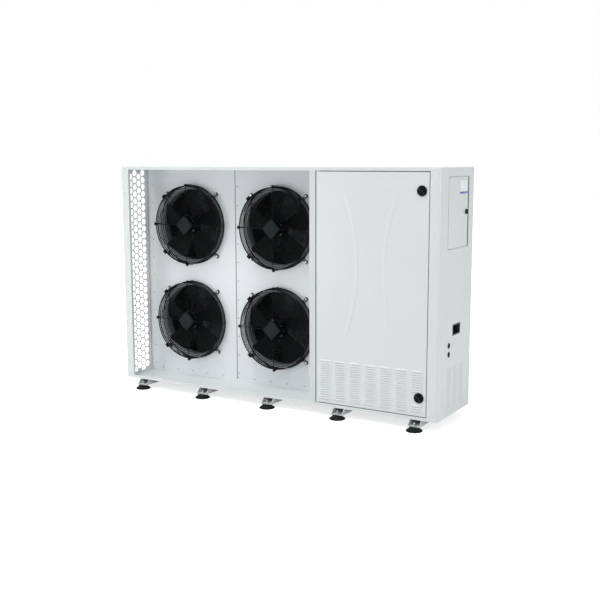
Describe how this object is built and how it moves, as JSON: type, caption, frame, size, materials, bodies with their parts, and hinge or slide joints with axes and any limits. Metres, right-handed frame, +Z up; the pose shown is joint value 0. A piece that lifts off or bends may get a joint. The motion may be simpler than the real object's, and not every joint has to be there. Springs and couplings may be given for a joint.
{
  "type": "air-cooled condensing unit",
  "caption": "Long sheet-steel cabinet with wire-guarded axial fans in a recess, a hexagonal side grille, a louvred service door, an electrical hatch and rubber feet.",
  "frame": {"origin": "bottom centre of the bounding box, on the surface under the feet", "axes": "+X to the right along the length, -Y is the front with the fans and the service door, +Z up"},
  "size_m": [2.1802, 0.594, 1.418],
  "materials": {
    "casing": "satin powder coat",
    "seal_rubber": "matt",
    "guard_wire": "satin black coat",
    "fan_motor": "satin black",
    "terminal_plastic": "matt",
    "fan_blade": "moulded satin",
    "fins": "bare fin stock",
    "galvanised": "galvanised",
    "copper": "drawn copper tube",
    "zinc_steel": "zinc plated",
    "latch_plastic": "moulded",
    "control_plastic": "moulded",
    "compressor_paint": "gloss black",
    "mount_rubber": "matt",
    "drier_paint": "painted can",
    "valve_brass": "machined",
    "trim_plastic": "moulded",
    "rail_paint": "powder coat",
    "foot_rubber": "matt moulded"
  },
  "bodies": {
    "casing": {"base_pan": "casing", "top_cover": "casing", "left_side_panel": "casing", "divider_wall": "casing", "divider_post": "casing", "right_side_panel": "casing", "rear_bay_panel": "casing", "door_frame": "casing", "fan_panel_left": "casing", "fan_panel_right": "casing", "door_gasket": "seal_rubber", "cable_grommets": "seal_rubber", "fan_guard_upper_left": "guard_wire", "fan_guard_upper_right": "guard_wire", "fan_guard_lower_left": "guard_wire", "fan_guard_lower_right": "guard_wire", "fan_motor_upper_left": "fan_motor", "fan_motor_upper_right": "fan_motor", "fan_motor_lower_left": "fan_motor", "fan_motor_lower_right": "fan_motor", "terminal_box_upper_left": "terminal_plastic", "terminal_box_upper_right": "terminal_plastic", "terminal_box_lower_left": "terminal_plastic", "terminal_box_lower_right": "terminal_plastic", "coil_fin_pack": "fins", "coil_end_plates": "galvanised", "mounting_rail": "galvanised", "electrical_enclosure": "galvanised", "coil_return_bends": "copper", "coil_headers": "copper", "discharge_pipe": "copper", "condensate_pipe": "copper", "liquid_pipe": "copper", "suction_pipe": "copper", "door_hinges": "zinc_steel", "hatch_hinges": "zinc_steel", "foot_nuts": "zinc_steel", "guard_bolts": "zinc_steel", "panel_screws": "zinc_steel", "contactor": "control_plastic", "fan_speed_controller": "control_plastic", "terminal_block": "control_plastic", "compressor_terminal_cover": "control_plastic", "compressor": "compressor_paint", "liquid_receiver": "compressor_paint", "compressor_mounts": "mount_rubber", "filter_drier": "drier_paint", "service_valves": "valve_brass", "pipe_outlet_trim": "trim_plastic", "cross_rails": "rail_paint", "rubber_feet": "foot_rubber"},
    "fan_impeller_upper_left": {"fan_impeller_upper_left": "fan_blade"},
    "fan_impeller_upper_right": {"fan_impeller_upper_right": "fan_blade"},
    "fan_impeller_lower_left": {"fan_impeller_lower_left": "fan_blade"},
    "fan_impeller_lower_right": {"fan_impeller_lower_right": "fan_blade"},
    "service_door": {"service_door": "casing"},
    "door_latch_upper": {"door_latch_upper": "latch_plastic"},
    "door_latch_lower": {"door_latch_lower": "latch_plastic"},
    "electrical_hatch": {"electrical_hatch": "casing"},
    "hatch_latch": {"hatch_latch": "latch_plastic"}
  },
  "joints": [
    {"name": "fan_spin_upper_left", "type": "hinge", "parent": "casing", "child": "fan_impeller_upper_left", "pos_m": [-0.72615, -0.02, 1.049], "axis": [0, 1, 0], "continuous": true},
    {"name": "fan_spin_upper_right", "type": "hinge", "parent": "casing", "child": "fan_impeller_upper_right", "pos_m": [-0.07215, -0.02, 1.049], "axis": [0, 1, 0], "continuous": true},
    {"name": "fan_spin_lower_left", "type": "hinge", "parent": "casing", "child": "fan_impeller_lower_left", "pos_m": [-0.72615, -0.02, 0.433], "axis": [0, 1, 0], "continuous": true},
    {"name": "fan_spin_lower_right", "type": "hinge", "parent": "casing", "child": "fan_impeller_lower_right", "pos_m": [-0.07215, -0.02, 0.433], "axis": [0, 1, 0], "continuous": true},
    {"name": "service_door_swing", "type": "hinge", "parent": "casing", "child": "service_door", "pos_m": [0.34135, -0.229, 0.7], "axis": [0, 0, -1], "range_deg": [0, 110]},
    {"name": "door_latch_upper_turn", "type": "hinge", "parent": "service_door", "child": "door_latch_upper", "pos_m": [0.97385, -0.235, 1.297], "axis": [0, -1, 0], "range_deg": [0, 90]},
    {"name": "door_latch_lower_turn", "type": "hinge", "parent": "service_door", "child": "door_latch_lower", "pos_m": [0.97385, -0.235, 0.182], "axis": [0, -1, 0], "range_deg": [0, 90]},
    {"name": "electrical_hatch_swing", "type": "hinge", "parent": "casing", "child": "electrical_hatch", "pos_m": [1.07385, -0.1185, 1.175], "axis": [0, 0, -1], "range_deg": [0, 110]},
    {"name": "hatch_latch_turn", "type": "hinge", "parent": "electrical_hatch", "child": "hatch_latch", "pos_m": [1.07985, 0.125, 1.175], "axis": [1, 0, 0], "range_deg": [0, 90]}
  ]
}
